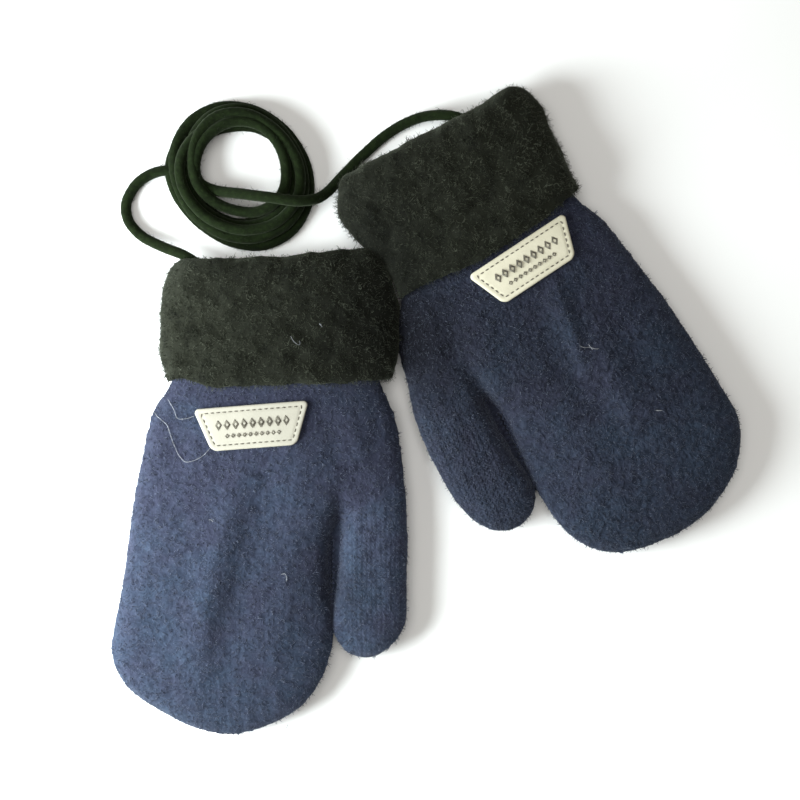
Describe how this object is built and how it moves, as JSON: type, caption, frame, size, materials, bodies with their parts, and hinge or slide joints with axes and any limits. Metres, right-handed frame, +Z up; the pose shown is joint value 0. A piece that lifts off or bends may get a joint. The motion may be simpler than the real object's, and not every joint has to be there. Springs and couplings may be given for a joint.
{
  "type": "pair of baby mittens",
  "caption": "Pair of baby mittens laid flat: navy brushed knit hands, turned-back black cuffs, pale patches and a coiled neck cord",
  "frame": {"origin": "middle of the underside of the two mittens and their labels, on the surface they lie on, without the cord", "axes": "+X from the left mitten to the right one, +Y from the finger tips towards the cuffs, +Z up from the surface"},
  "size_m": [0.1752, 0.1792, 0.0141],
  "materials": {
    "navy_knit": "brushed fine knit, matt with a soft nap",
    "black_brushed_knit": "brushed fluffy knit, matt",
    "pale_leatherette": "smooth leatherette, low sheen",
    "black_cord": "knitted cord, matt"
  },
  "bodies": {
    "root": {"mitten_left_back": "navy_knit", "mitten_left_palm": "navy_knit", "mitten_left_cuff": "black_brushed_knit", "label_left": "pale_leatherette", "mitten_right_back": "navy_knit", "mitten_right_palm": "navy_knit", "mitten_right_cuff": "black_brushed_knit", "label_right": "pale_leatherette", "cord_lead_left": "black_cord", "cord_coil": "black_cord", "cord_lead_right": "black_cord"}
  },
  "joints": []
}
